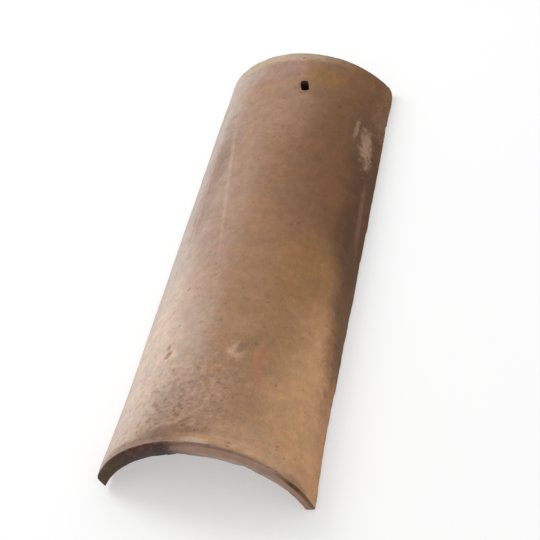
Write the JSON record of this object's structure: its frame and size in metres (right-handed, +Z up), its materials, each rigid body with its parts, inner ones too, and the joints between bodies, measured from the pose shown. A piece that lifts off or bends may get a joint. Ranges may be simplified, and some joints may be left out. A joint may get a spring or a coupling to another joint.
{
  "type": "clay barrel tile",
  "caption": "Tapered half-round roof tile of fired clay, laid hollow side down, with a nail hole near its narrow end.",
  "frame": {"origin": "on the ground, under the middle of the tile's footprint", "axes": "+Y along the tile from its wide end to its narrow nailed end, +X across it, +Z up through the crown"},
  "size_m": [0.1784, 0.4597, 0.0722],
  "materials": {
    "fired_clay": "weathered matt brown, unglazed"
  },
  "bodies": {
    "root": {"barrel_tile": "fired_clay"}
  },
  "joints": []
}
